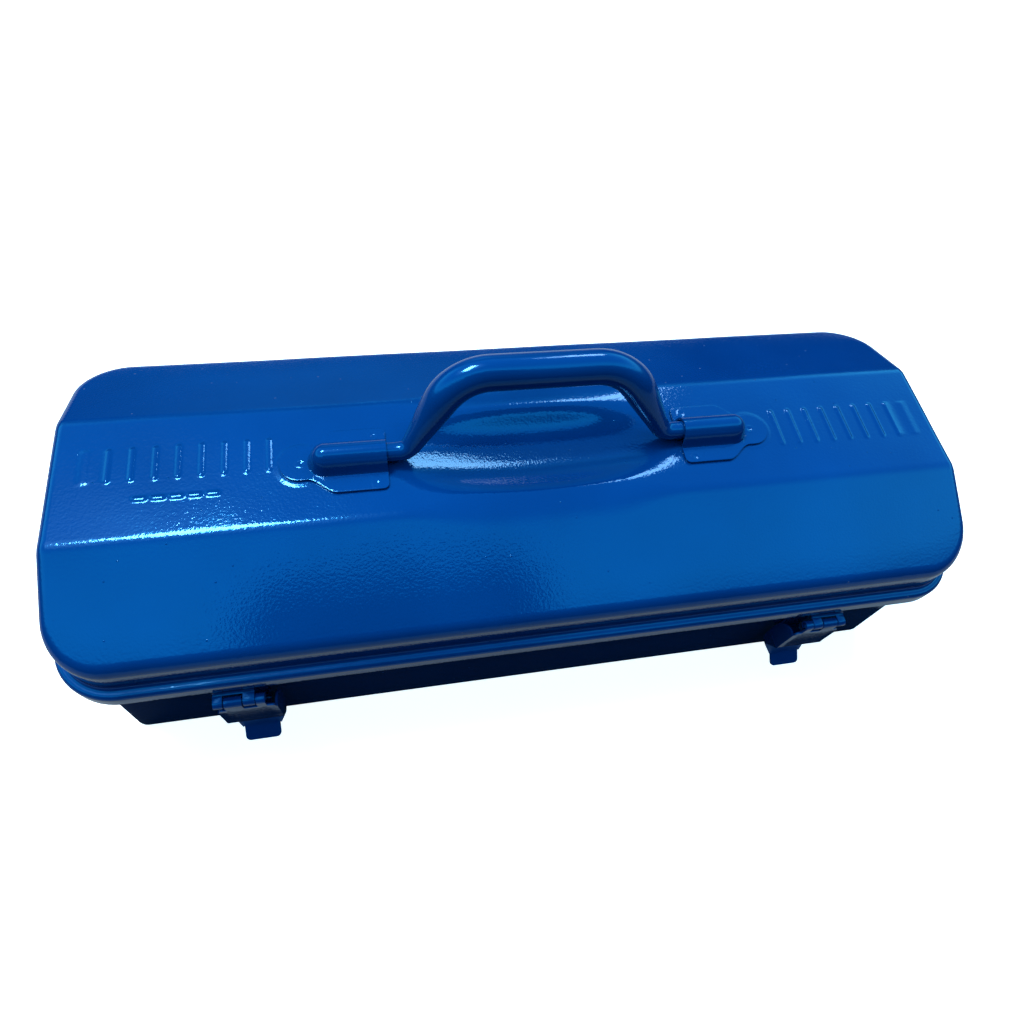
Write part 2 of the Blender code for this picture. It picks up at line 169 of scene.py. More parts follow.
# Height of the slow and the quick unevenness of the pressed roof
WAVE_BROAD = 0.11
WAVE_FINE = 0.02

# ---------------------------------------------------------------- studio
# Painted shade on the floor round the base, fainter far out, seen only in reflections: (distance out,
# strength)
SHADE_CENTRE = (0.0, 0.0, 0.05)
SHADE_RINGS = ((-8.0, 1.0), (27.5, 1.0), (29.5, 0.8), (9000.0, 0.8))

# Dark flag above the camera side: half length, half width and corner radius, centre, borders
FLAG_PLAN = (250.0, 240.0, 90.0)
FLAG_CENTRE = (-60.0, -590.0, 900.0)
FLAG_RINGS = ((-20.0, 0.85), (-9.0, 0.85), (9.0, 0.0))

# Lamps, in metres and watts
LAMP_AT = (-0.52, 0.45, 1.65)
LAMP_SIZE = (0.5, 0.3)
LAMP_POWER = 38.0
WINDOW_AT = (0.52, 0.97, 1.27)
WINDOW_SIZE = (0.28, 0.28)
WINDOW_POWER = 4.0
LAMP_AIM = (0.0, 0.0, 0.09)

# Room colours by the sine of the angle above the plane square to CEILING_AXIS
CEILING_AXIS = (0.0, 0.3, 0.95)
CEILING_WIDTH = 0.45
ROOM_COLOURS = (
    (0.00, (0.006, 0.02, 0.03)),
    (0.35, (0.01, 0.07, 0.09)),
    (0.58, (0.05, 0.25, 0.30)),
    (0.70, (0.3, 2.6, 3.6)),
    (0.78, (0.3, 2.5, 3.6)),
    (0.92, (0.15, 1.1, 2.2)),
    (1.00, (0.15, 1.0, 2.1)),
)
# Room brightness by how far a direction points to the rear
REAR_LEVELS = ((0.66, 1.0), (0.80, 0.15), (0.90, 0.15), (1.00, 2.6))
GLOW_COLOUR = (3.0, 3.2, 3.6, 1.0)
GLOW_ANGLE = math.radians(21.0)

# Camera, in metres, degrees and millimetres
CAMERA_AT = (-0.07096, -0.17074, 0.37382)
CAMERA_TURN = (28.942, -6.589, -9.624)
CAMERA_LENS = 25.03
CAMERA_SENSOR = 36.0


# ---------------------------------------------------------------- enamel
def new_node(tree, kind, **values):
    """Node with its settings and its inputs given by name, with _ for a space."""
    node = tree.nodes.new(kind)
    for key, value in values.items():
        if hasattr(node, key):
            setattr(node, key, value)
        else:
            node.inputs[key.replace("_", " ")].default_value = value
    return node


def fill_ramp(ramp, stops):
    """Give a colour ramp its (position, colour) stops, first and last included."""
    elements = ramp.color_ramp.elements
    for element, (position, color) in zip(elements, (stops[0], stops[-1])):
        element.position = position
        element.color = (*color, 1.0)
    for position, color in stops[1:-1]:
        elements.new(position).color = (*color, 1.0)


def enamel(name, peel=1.0):
    """Glossy blue stoving enamel: fine orange peel, sparse dust nibs and a slightly uneven gloss."""
    material = bpy.data.materials.new(name)
    material.use_nodes = True
    tree = material.node_tree
    link = tree.links.new
    shader = tree.nodes["Principled BSDF"]
    shader.inputs["IOR"].default_value = 1.5
    shader.inputs["Specular Tint"].default_value = (0.0, 0.45, 1.0, 1.0)
    shader.inputs["Coat Weight"].default_value = 0.12
    shader.inputs["Coat Roughness"].default_value = 0.06
    place = new_node(tree, "ShaderNodeTexCoord")

    drift = new_node(tree, "ShaderNodeTexNoise", Scale=14.0, Detail=3.0, Roughness=0.55)
    link(place.outputs["Object"], drift.inputs["Vector"])
    tint = new_node(tree, "ShaderNodeValToRGB")
    fill_ramp(tint, ((0.3, ENAMEL_DEEP), (0.7, ENAMEL_LIGHT)))
    link(drift.outputs["Fac"], tint.inputs["Fac"])
    link(tint.outputs["Color"], shader.inputs["Base Color"])

    haze = new_node(tree, "ShaderNodeTexNoise", Scale=60.0, Detail=4.0, Roughness=0.6)
    link(place.outputs["Object"], haze.inputs["Vector"])
    gloss = new_node(tree, "ShaderNodeMapRange", From_Min=0.3, From_Max=0.7, To_Min=0.07, To_Max=0.12)
    link(haze.outputs["Fac"], gloss.inputs["Value"])
    link(gloss.outputs["Result"], shader.inputs["Roughness"])

    skin = new_node(tree, "ShaderNodeTexNoise", Scale=900.0, Detail=1.0, Roughness=0.5)
    link(place.outputs["Object"], skin.inputs["Vector"])
    peel_bump = new_node(tree, "ShaderNodeBump", Strength=peel, Distance=0.00005)
    link(skin.outputs["Fac"], peel_bump.inputs["Height"])

    dust = new_node(tree, "ShaderNodeTexVoronoi", Scale=170.0)
    link(place.outputs["Object"], dust.inputs["Vector"])
    speck = new_node(tree, "ShaderNodeMapRange", From_Min=0.03, From_Max=0.08, To_Min=1.0, To_Max=0.0)
    link(dust.outputs["Distance"], speck.inputs["Value"])
    apart = new_node(tree, "ShaderNodeSeparateColor")
    link(dust.outputs["Color"], apart.inputs["Color"])
    few = new_node(tree, "ShaderNodeMath", operation="GREATER_THAN")
    few.inputs[1].default_value = 0.7
    link(apart.outputs["Red"], few.inputs[0])
    nib = new_node(tree, "ShaderNodeMath", operation="MULTIPLY")
    link(speck.outputs["Result"], nib.inputs[0])
    link(few.outputs["Value"], nib.inputs[1])
    nib_bump = new_node(tree, "ShaderNodeBump", Strength=0.8, Distance=0.0002)
    link(nib.outputs["Value"], nib_bump.inputs["Height"])
    link(peel_bump.outputs["Normal"], nib_bump.inputs["Normal"])
    link(nib_bump.outputs["Normal"], shader.inputs["Normal"])
    link(nib_bump.outputs["Normal"], shader.inputs["Coat Normal"])
    return material


# ---------------------------------------------------------------- mesh helpers
def finish_piece(obj, body, node, material, sharp=40.0):
    """Bake the modifiers, shade, and hand the piece to the frame in place of its CAD node."""
    evaluated = obj.evaluated_get(bpy.context.evaluated_depsgraph_get())
    mesh = bpy.data.meshes.new_from_object(evaluated)
    obj.modifiers.clear()
    obj.data = mesh
    mesh.materials.clear()
    mesh.materials.append(material)
    mesh.shade_smooth()
    mesh.set_sharp_from_angle(angle=math.radians(sharp))
    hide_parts(node)
    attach(obj, body)
    return obj


def object_from_bmesh(name, bm):
    bmesh.ops.scale(bm, vec=(MM, MM, MM), verts=bm.verts)
    mesh = bpy.data.meshes.new(name)
    bm.to_mesh(mesh)
    bm.free()
    obj = bpy.data.objects.new(name, mesh)
    bpy.context.scene.collection.objects.link(obj)
    return obj


def object_from_arrays(name, points, faces):
    mesh = bpy.data.meshes.new(name)
    mesh.from_pydata((np.asarray(points) * MM).tolist(), [], [tuple(f) for f in faces])
    obj = bpy.data.objects.new(name, mesh)
    bpy.context.scene.collection.objects.link(obj)
    return obj


def add_sheet(obj, thickness, offset):
    modifier = obj.modifiers.new("Sheet", "SOLIDIFY")
    modifier.thickness = thickness * MM
    modifier.offset = offset
    modifier.use_even_offset = True
    modifier.use_quality_normals = True


def add_edges(obj, width, angle=50.0):
    modifier = obj.modifiers.new("Edges", "BEVEL")
    modifier.width = width * MM
    modifier.segments = 2
    modifier.limit_method = "ANGLE"
    modifier.angle_limit = math.radians(angle)


def smooth_step(value):
    clamped = np.clip(value, 0.0, 1.0)
    return clamped * clamped * (3.0 - 2.0 * clamped)


def spread(stops):
    """Stations along a line from (position, step) pairs, each step used up to the next position."""
    stations = []
    for (start, step), (end, _) in zip(stops, stops[1:]):
        count = max(1, round((end - start) / step))
        stations += [start + (end - start) * k / count for k in range(count)]
    stations.append(stops[-1][0])
    return stations


def mirrored(stations):
    """Stations from zero outwards, repeated on the negative side."""
    return [-s for s in reversed(stations[1:])] + list(stations)


# ---------------------------------------------------------------- lid
def bead_height(x, y, start, end):
    """Height of one pressed bead with rounded ends between two plan points."""
    sx, sy = start
    ex, ey = end
    length2 = (ex - sx) ** 2 + (ey - sy) ** 2
    along = np.clip(((x - sx) * (ex - sx) + (y - sy) * (ey - sy)) / length2, 0.0, 1.0)
    away = np.hypot(x - sx - along * (ex - sx), y - sy - along * (ey - sy))
    inside = np.clip(1.0 - away / RIB_HALF_W, 0.0, 1.0)
    return RIB_RISE * np.sin(0.5 * math.pi * inside) ** 1.5


def ribs_height(x, y):
    """Height of all the pressed beads and dashes on the top panel."""
    height = np.zeros_like(x)
    for first, last, top, bottom in BEAD_ROWS:
        for k in range(BEAD_COUNT):
            at = first + (last - first) * k / (BEAD_COUNT - 1)
            height = np.maximum(height, bead_height(x, y, (at, top), (at, bottom)))
    first, last, level = DASH_ROW
    for k in range(DASH_COUNT):
        at = first + (last - first) * k / (DASH_COUNT - 1)
        ends = ((at - 0.5 * DASH_LENGTH, level), (at + 0.5 * DASH_LENGTH, level))
        height = np.maximum(height, bead_height(x, y, *ends))
    return height


def camber_height(x, y):
    """Flat top, blended creases, slopes and the dished hand recess."""
    across = np.abs(y)
    near = smooth_step((DISH_HALF_L - np.abs(x)) / DISH_FADE_L)
    blend = CREASE_BLEND + CREASE_BLEND_MORE * near
    start = CREASE_Y - blend
    bend = CAMBER_SLOPE * (across - start) ** 2 / (4.0 * blend)
    slope = CAMBER_SLOPE * (across - CREASE_Y)
    fall = np.where(across <= start, 0.0, np.where(across < CREASE_Y + blend, bend, slope))
    middle = np.maximum(0.0, 1.0 - (x / DISH_HALF_L) ** 2)
    inside = 1.0 - (x / DISH_HALF_L) ** 2 - (across / DISH_HALF_W) ** DISH_POWER
    rim = DISH_RIM[0] + DISH_RIM[1] * middle
    dish = 0.5 * (inside + np.sqrt(inside ** 2 + rim ** 2)) * smooth_step((inside + 0.9) / 0.8)
    return LID_TOP_Z - fall - DISH_DEPTH * dish


def pad_height(x, y):
    """Low raised pad pressed into the roof under the nose of each bracket."""
    away = np.hypot(np.abs(x) - (BRACKET_NOSE_X - BRACKET_NOSE_R), y - HANDLE_Y)
    rounded = smooth_step((BRACKET_NOSE_R + PAD_MARGIN - away) / PAD_SLOPE + 0.5)
    return PAD_RISE * rounded * smooth_step((np.abs(x) - PAD_START_X) / 4.0)


def press_waves(x, y):
    """Slight unevenness of pressed sheet, about a tenth of a millimetre."""
    broad = np.sin(x * 0.061 + 1.3 * np.sin(y * 0.043)) * np.cos(y * 0.072 + 0.6)
    fine = np.sin(x * 0.143 + y * 0.097 + 2.0)
    return WAVE_BROAD * broad + WAVE_FINE * fine


def roof_height(x, y):
    """Height of the lid's outer skin over a plan point."""
    x = np.asarray(x, float)
    y = np.asarray(y, float)
    return camber_height(x, y) + ribs_height(x, y) + pad_height(x, y) + press_waves(x, y)


def outline_frames(x, y, half_l, half_w, radius):
    """Corner centres and outward plan directions of points on a rounded rectangle."""
    cx = np.clip(x, -half_l + radius, half_l - radius)
    cy = np.clip(y, -half_w + radius, half_w - radius)
    away = np.stack([x - cx, y - cy], axis=1)
    away /= np.linalg.norm(away, axis=1)[:, None]
    return np.stack([cx, cy], axis=1), away


def lid_rings():
    """(offset from the wall, height or None, drop below the roof) from the roof's edge to the skirt."""
    rings = []
    for k in range(1, 9):
        turn = math.radians(90.0 * k / 8)
        rings.append((LID_EDGE_R * (math.sin(turn) - 1.0), None, LID_EDGE_R * (1.0 - math.cos(turn))))
    rings.append((0.0, LEDGE_Z + 4.0, 0.0))
    fillet = 2.0
    for k in range(6):
        turn = math.radians(90.0 * k / 5)
        rings.append((fillet * (1.0 - math.cos(turn)), LEDGE_Z + fillet * (1.0 - math.sin(turn)), 0.0))
    for k in range(7):
        turn = math.radians(90.0 * k / 6)
        out = LEDGE_OUT - LEDGE_R + LEDGE_R * math.sin(turn)
        rings.append((out, LEDGE_Z - LEDGE_R * (1.0 - math.cos(turn)), 0.0))
    rings.append((LEDGE_OUT, SKIRT_Z + 1.0, 0.0))
    rings.append((LEDGE_OUT, SKIRT_Z, 0.0))
    return rings


def lid_plan():
    """Lengthwise stations with the roof's half-width there, and crosswise stations."""
    half_l = LID_HALF_L - LID_EDGE_R
    half_w = LID_HALF_W - LID_EDGE_R
    radius = LID_CORNER_R - LID_EDGE_R
    straight = half_l - radius
    # Stations are closest together where the dish, the pads and the beads are
    along = mirrored(spread([(0.0, 1.6), (70.0, 3.0), (97.0, 0.55), (straight, 1.0)]))
    turns = [math.radians(90.0 * k / ROUND_STEPS) for k in range(1, ROUND_STEPS + 1)]
    ends = [radius * math.sin(turn) for turn in turns]
    widths = [radius * math.cos(turn) for turn in turns]
    along = [-straight - e for e in reversed(ends)] + along + [straight + e for e in ends]
    reach = [half_w - radius + w for w in reversed(widths)]
    reach = reach + [half_w] * (len(along) - 2 * len(ends)) + list(reversed(reach))
    across = mirrored(spread([(0.0, 0.6), (15.0, 1.2), (24.0, 0.8), (38.0, 3.0), (50.0, 1.0)]))
    return np.array(along), np.array(reach), np.array(across)


def grid_quads(index):
    """Quads between neighbouring entries of a table of point numbers."""
    corners = (index[:-1, :-1], index[1:, :-1], index[1:, 1:], index[:-1, 1:])
    return np.stack(corners, axis=-1).reshape(-1, 4)


def band_quads(lower, upper):
    """Quads between two closed rings of point numbers."""
    return np.stack([lower, np.roll(lower, -1), np.roll(upper, -1), upper], axis=1)


def make_lid(material):
    """Roof as a grid of stations, then rings down the wall, over the ledge and down the skirt."""
    along, reach, across = lid_plan()
    inner = across[1:-1]
    rows = len(inner) + 4
    ys = np.empty((len(along), rows))
    ys[:, 2:-2] = inner
    ys[:, 0] = -reach
    ys[:, -1] = reach
    ys[:, 1] = 0.5 * (ys[:, 0] + inner[0])
    ys[:, -2] = 0.5 * (ys[:, -1] + inner[-1])
    xs = np.repeat(along[:, None], rows, axis=1)
    points = [np.stack([xs.ravel(), ys.ravel(), roof_height(xs, ys).ravel()], axis=1)]
    index = np.arange(xs.size).reshape(xs.shape)
    faces = [grid_quads(index)]
    edge = np.concatenate([index[:, 0], index[-1, 1:-1], index[::-1, -1], index[0, -2:0:-1]])
    flat = points[0][edge]
    half = (LID_HALF_L - LID_EDGE_R, LID_HALF_W - LID_EDGE_R, LID_CORNER_R - LID_EDGE_R)
    centre, away = outline_frames(flat[:, 0], flat[:, 1], *half)
    upper = edge
    total = xs.size
    for offset, height, drop in lid_rings():
        spot = centre + away * (LID_CORNER_R + offset)
        if height is None:
            level = roof_height(spot[:, 0], spot[:, 1]) - drop
        else:
            level = np.full(len(spot), height)
        points.append(np.column_stack([spot, level]))
        lower = np.arange(total, total + len(spot))
        total += len(spot)
        faces.append(band_quads(lower, upper))
        upper = lower
    obj = object_from_arrays("lid_skin", np.concatenate(points), np.concatenate(faces).tolist())
    add_sheet(obj, SHEET, -1.0)
    add_edges(obj, 0.25, angle=60.0)
    return finish_piece(obj, "lid", "lid_shell", material)


# ---------------------------------------------------------------- base
def rounded_rectangle(half_l, half_w, radius, steps):
    """Plan points of a rounded rectangle with divided sides, counter-clockwise."""
    corners = ((1, 1, 0.0), (-1, 1, 90.0), (-1, -1, 180.0), (1, -1, 270.0))
    points = []
    for sign_x, sign_y, start in corners:
        for k in range(steps + 1):
            angle = math.radians(start + 90.0 * k / steps)
            points.append((sign_x * (half_l - radius) + radius * math.cos(angle),
                           sign_y * (half_w - radius) + radius * math.sin(angle)))
    filled = []
    for here, ahead in zip(points, points[1:] + points[:1]):
        gap = math.dist(here, ahead)
        parts = SIDE_STEPS if gap > 3.0 * radius else 1
        step = ((ahead[0] - here[0]) / parts, (ahead[1] - here[1]) / parts)
        filled += [(here[0] + step[0] * k, here[1] + step[1] * k) for k in range(parts)]
    return np.array(filled)


def base_corner_r(height):
    """Plan corner radius of the tray, tighter at the floor than at the rim."""
    return BASE_FOOT_CORNER_R + (BASE_CORNER_R - BASE_FOOT_CORNER_R) * height / RIM_Z


def base_rings():
    """(outward offset, height) pairs from the floor up over the rim."""
    rings = []
    for k in range(9):
        angle = math.radians(90.0 * k / 8)
        rings.append((BASE_EDGE_R * (math.sin(angle) - 1.0), BASE_EDGE_R * (1.0 - math.cos(angle))))
    rings += [(0.0, z) for z in (20.0, 35.0, 50.0, 65.0)]
    for k in range(6):
        angle = math.radians(90.0 * k / 5)
        out = RIM_FILLET * (1.0 - math.cos(angle))
        rings.append((out, RIM_Z - RIM_FILLET * (1.0 - math.sin(angle))))
    rings.append((RIM_OUT - 0.8, RIM_Z))
    rings.append((RIM_OUT, RIM_Z - 0.1))
    return rings


def make_base(material):
    """Tray as a stack of rings from the floor to the rim, made into a sheet."""
    count = len(rounded_rectangle(BASE_HALF_L, BASE_HALF_W, BASE_CORNER_R, ROUND_STEPS))
    points = []
    faces = [list(range(count))[::-1]]
    for k, (offset, height) in enumerate(base_rings()):
        corner_r = base_corner_r(height)
        plan = rounded_rectangle(BASE_HALF_L, BASE_HALF_W, corner_r, ROUND_STEPS)
        centre, away = outline_frames(plan[:, 0], plan[:, 1], BASE_HALF_L, BASE_HALF_W, corner_r)
        spot = centre + away * (corner_r + offset)
        points.append(np.column_stack([spot, np.full(count, height)]))
        if k:
            lower = np.arange((k - 1) * count, k * count)
            faces += band_quads(lower, lower + count).tolist()
    obj = object_from_arrays("base_skin", np.concatenate(points), faces)
    add_sheet(obj, SHEET, -1.0)
    add_edges(obj, 0.25, angle=60.0)
    return finish_piece(obj, "base", "base_tray", material)


# ---------------------------------------------------------------- handle
def rounded_path(corners, bends, steps):
    """Polyline through 2D corners with each inner corner replaced by an arc of its bend radius."""
    path = [Vector(corners[0])]
    for before, corner, after, bend in zip(corners, corners[1:], corners[2:], bends):
        corner = Vector(corner)
        back = (Vector(before) - corner).normalized()
        ahead = (Vector(after) - corner).normalized()
        half = 0.5 * back.angle(ahead)
        reach = bend / math.tan(half)
        centre = corner + (back + ahead).normalized() * (bend / math.sin(half))
        start = corner + back * reach - centre
        finish = corner + ahead * reach - centre
        sweep = start.angle(finish)
        turn = 1.0 if start.x * finish.y - start.y * finish.x > 0.0 else -1.0
        for k in range(steps + 1):
            path.append(centre + Matrix.Rotation(turn * sweep * k / steps, 2) @ start)
    path.append(Vector(corners[-1]))
    return path


def resample(path, step):
    """Even points along a polyline."""
    lengths = [0.0]
    for a, b in zip(path, path[1:]):
        lengths.append(lengths[-1] + (b - a).length)
    count = round(lengths[-1] / step)
    wanted = np.linspace(0.0, lengths[-1], count + 1)
    xs = np.interp(wanted, lengths, [p.x for p in path])
    ys = np.interp(wanted, lengths, [p.y for p in path])
    return [Vector(pair) for pair in zip(xs, ys)]


def handle_radius(rise):
    """Tube radius at a height above the sockets: thin ends swelling into the grip."""
    swell = 0.0
    if rise > 0.0:
        soft = float(smooth_step(0.12 + 0.88 * rise / (0.8 * HANDLE_REACH)))
        swell = max(soft, min(1.0, rise / (0.75 * HANDLE_REACH)))
    return HANDLE_END_R + (HANDLE_GRIP_R - HANDLE_END_R) * swell


def make_handle(material):
    """Round tube swept along the bent path, leaned back as it rests."""
    corners = [(-HANDLE_END_X, 0.0), (-HANDLE_FOOT_X, 0.0), (-HANDLE_TOP_X, HANDLE_REACH),
               (HANDLE_TOP_X, HANDLE_REACH), (HANDLE_FOOT_X, 0.0), (HANDLE_END_X, 0.0)]
    bends = (HANDLE_FOOT_BEND, HANDLE_TOP_BEND, HANDLE_TOP_BEND, HANDLE_FOOT_BEND)
    path = resample(rounded_path(corners, bends, 24), HANDLE_STEP)
    bm = bmesh.new()
    loops = []
    for i, point in enumerate(path):
        ahead = path[min(i + 1, len(path) - 1)] - path[max(i - 1, 0)]
        normal = Vector((-ahead.y, ahead.x)).normalized()
        radius = handle_radius(point.y)
        if i in (0, len(path) - 1):
            radius -= HANDLE_END_CHAMFER
        loop = []
        for k in range(HANDLE_SIDES):
            angle = 2.0 * math.pi * k / HANDLE_SIDES
            lift = normal * radius * math.cos(angle)
            loop.append(bm.verts.new((point.x + lift.x, radius * math.sin(angle), point.y + lift.y)))
        loops.append(loop)
    for first, second in zip(loops, loops[1:]):
        for k in range(HANDLE_SIDES):
            j = (k + 1) % HANDLE_SIDES
            bm.faces.new((first[k], first[j], second[j], second[k]))
    bm.faces.new(list(reversed(loops[0])))
    bm.faces.new(loops[-1])
    bmesh.ops.recalc_face_normals(bm, faces=bm.faces)
    bmesh.ops.rotate(bm, verts=bm.verts, matrix=Matrix.Rotation(-HANDLE_LEAN, 3, "X"))
    bmesh.ops.translate(bm, verts=bm.verts, vec=(0.0, HANDLE_Y, HANDLE_AXIS_Z))
    obj = object_from_bmesh("handle_skin", bm)
    return finish_piece(obj, "handle", "handle_tube", material, sharp=50.0)


# ---------------------------------------------------------------- handle brackets
def bracket_half_width(x):
    """Half-width of the bracket's outline: square mouth with round corners, waisted to a round nose."""
    mouth = x - BRACKET_MOUTH_X
    if mouth < BRACKET_CORNER_R:
        corner = math.sqrt(BRACKET_CORNER_R ** 2 - (BRACKET_CORNER_R - mouth) ** 2)
        return BRACKET_HALF_W - BRACKET_CORNER_R + corner
    nose = BRACKET_NOSE_X - BRACKET_NOSE_R
    if x > nose:
        return math.sqrt(max(0.0, BRACKET_NOSE_R ** 2 - (x - nose) ** 2))
    fade = float(smooth_step((x - BRACKET_SHOULDER_X + 2.0) / (nose - BRACKET_SHOULDER_X - 1.0)))
    return BRACKET_HALF_W + (BRACKET_NOSE_R - BRACKET_HALF_W) * fade


def socket_height(x, y):
    """Inner skin of the pressed socket above the bracket's flat, with spot-weld dimples."""
    rise = HANDLE_AXIS_Z + SOCKET_R - (LID_TOP_Z + GAP)
    along = np.maximum(0.0, x - (SOCKET_END_X - SOCKET_R))
    reach = np.hypot(along, y)
    knee = SOCKET_R * 0.85
    crown = rise - SOCKET_R + np.sqrt(np.maximum(0.0, SOCKET_R ** 2 - reach ** 2))
    shoulder = rise - SOCKET_R + math.sqrt(SOCKET_R ** 2 - knee ** 2)
    outside = SOCKET_R + 0.1 + SOCKET_FOOT
    skirt = shoulder * (1.0 - smooth_step((reach - knee) / (outside - knee)))
    height = np.where(reach < knee, crown, skirt)
    for wx, wy in WELDS:
        away = np.hypot(x - wx, y - wy) / WELD_R
        height = height - WELD_DIP * np.exp(-(away / 0.55) ** 2)
        height = height + WELD_RING * np.exp(-((away - 1.0) / 0.3) ** 2)
    return height


def make_bracket(side, label, material):
    """Spot-welded plate with the pressed socket that holds one end of the handle."""
    nose = BRACKET_NOSE_X - BRACKET_NOSE_R
    mouth = [BRACKET_CORNER_R * (1.0 - math.cos(math.radians(90.0 * k / 6))) for k in range(6)]
    along = [BRACKET_MOUTH_X + m for m in mouth]
    along += spread([(BRACKET_MOUTH_X + BRACKET_CORNER_R, 0.5), (nose, 0.5)])
    along += [nose + BRACKET_NOSE_R * math.sin(math.radians(90.0 * k / 16)) for k in range(1, 16)]
    across = spread([(0.0, 0.4), (8.0, 0.8), (BRACKET_HALF_W, 1.0)])
    share = mirrored([a / BRACKET_HALF_W for a in across])
    rows = len(share)
    points = []
    for x in along:
        half_w = bracket_half_width(x)
        for f in share:
            kept = math.copysign(min(abs(f) * BRACKET_HALF_W, half_w), f)
            points.append((x, f * half_w if half_w < BRACKET_NARROW else kept))
    plan = np.array(points)
    z = LID_TOP_Z + GAP + socket_height(plan[:, 0], plan[:, 1])
    solid = np.column_stack([plan[:, 0] * side, plan[:, 1] + HANDLE_Y, z])
    index = np.arange(len(points)).reshape(len(along), rows)
    quads = grid_quads(index)
    if side < 0:
        quads = quads[:, ::-1]
    obj = object_from_arrays("bracket_skin_" + label, solid, quads.tolist())
    weld_points(obj)
    add_sheet(obj, LEAF_T, 1.0)
    add_edges(obj, 0.3, angle=60.0)
    return finish_piece(obj, "lid", "handle_bracket_" + label, material)


def weld_points(obj):
    """Merge points that fell together where stations were clamped to the outline."""
    bm = bmesh.new()
    bm.from_mesh(obj.data)
    bmesh.ops.remove_doubles(bm, verts=bm.verts, dist=0.02 * MM)
    bmesh.ops.dissolve_degenerate(bm, edges=bm.edges, dist=0.01 * MM)
    bm.to_mesh(obj.data)
    bm.free()


# ---------------------------------------------------------------- bent sheet pieces
def curl(axis, start, sweep, steps=12):
    """Arc points (y, z) of a knuckle's mid-skin around the axis, angles in degrees from +Y."""
    turns = [math.radians(start + sweep * k / steps) for k in range(steps + 1)]
    return [(axis[0] + CURL_R * math.cos(turn), axis[1] + CURL_R * math.sin(turn)) for turn in turns]


def bent_sheet(bm, profile, columns, keep):
    """Skin bent along a (y, z) profile; keep(x, row) says which patches of metal exist."""
    grid = {}
    for i in range(len(columns) - 1):
        middle = 0.5 * (columns[i] + columns[i + 1])
        for j in range(len(profile) - 1):
            if not keep(middle, j):
                continue
            corners = []
            for a, b in ((i, j), (i + 1, j), (i + 1, j + 1), (i, j + 1)):
                if (a, b) not in grid:
                    grid[a, b] = bm.verts.new((columns[a], *profile[b]))
                corners.append(grid[a, b])
            bm.faces.new(corners)
    return grid


def round_corners(bm, radius):
    """Round the free corners of an open skin."""
    corners = []
    for v in bm.verts:
        if len(v.link_faces) == 1 and len(v.link_edges) == 2:
            a, b = (e.other_vert(v).co - v.co for e in v.link_edges)
            if abs(a.angle(b) - 0.5 * math.pi) < 0.6 and min(a.length, b.length) > radius * 1.05:
                corners.append(v)
    if corners:
        bmesh.ops.bevel(bm, geom=corners, offset=radius, offset_type="OFFSET", segments=5,
                        profile=0.5, affect="VERTICES")


def mirror_to_side(bm, side):
    if side < 0:
        bmesh.ops.scale(bm, vec=(-1.0, 1.0, 1.0), verts=bm.verts)
        bmesh.ops.reverse_faces(bm, faces=bm.faces)


def sheet_piece(bm, side, name, body, node, material):
    """Turn a skin drawn for the right side into a finished plate piece on either side."""
    mirror_to_side(bm, side)
    obj = object_from_bmesh(name, bm)
    add_sheet(obj, LEAF_T, 0.0)
    add_edges(obj, 0.22)
    return finish_piece(obj, body, node, material)


def make_strap(side, label, material):
    """Latch leaf inside the lid skirt, bent out below its edge into two curled knuckles."""
    plate_y = -(LID_HALF_W + LEDGE_OUT - SHEET - GAP - 0.5 * LEAF_T)
    shelf_z = LATCH_AXIS[1] + CURL_R
    corners = [(plate_y, STRAP_TOP_Z), (plate_y, shelf_z), (LATCH_AXIS[0], shelf_z)]
    plate = [tuple(p) for p in rounded_path(corners, (STRAP_BEND,), 8)][:-1]
    bend_rows = len(plate) - 1
    profile = plate + curl(LATCH_AXIS, 90.0, 280.0, 16)
    x0, x1, x2, x3 = STRAP_X
    columns = [x0, x1 - KNUCKLE_GAP, x2 + KNUCKLE_GAP, x3]
    bm = bmesh.new()
    bent_sheet(bm, profile, columns,
               lambda x, row: row < bend_rows or not x1 - KNUCKLE_GAP < x < x2 + KNUCKLE_GAP)
    return sheet_piece(bm, side, "strap_skin_" + label, "lid", "latch_strap_" + label, material)


def lever_profile():
    """The lever's curled top, and its face with the hook and the tab below, as (y, z) points."""
    face_y = LATCH_AXIS[0] - CURL_R
    rolled = curl(LATCH_AXIS, -110.0, 290.0)
    top_z = LATCH_AXIS[1] - FACE_TOP_DROP
    corners = [(face_y - FACE_DRAFT, FACE_FOOT_Z), (face_y - 0.3, 36.5), (face_y + 5.9, 26.2),
               (face_y + 1.0, 20.2), (face_y - 4.6, 16.2)]
    face = []
    for k in range(FACE_STEPS):
        share = k / FACE_STEPS
        face.append((face_y - FACE_DRAFT * share, top_z + (FACE_FOOT_Z - top_z) * share))
    lower = rounded_path(corners, (3.0, 2.6, 4.0), 5)
    return rolled, face + [tuple(p) for p in lower]


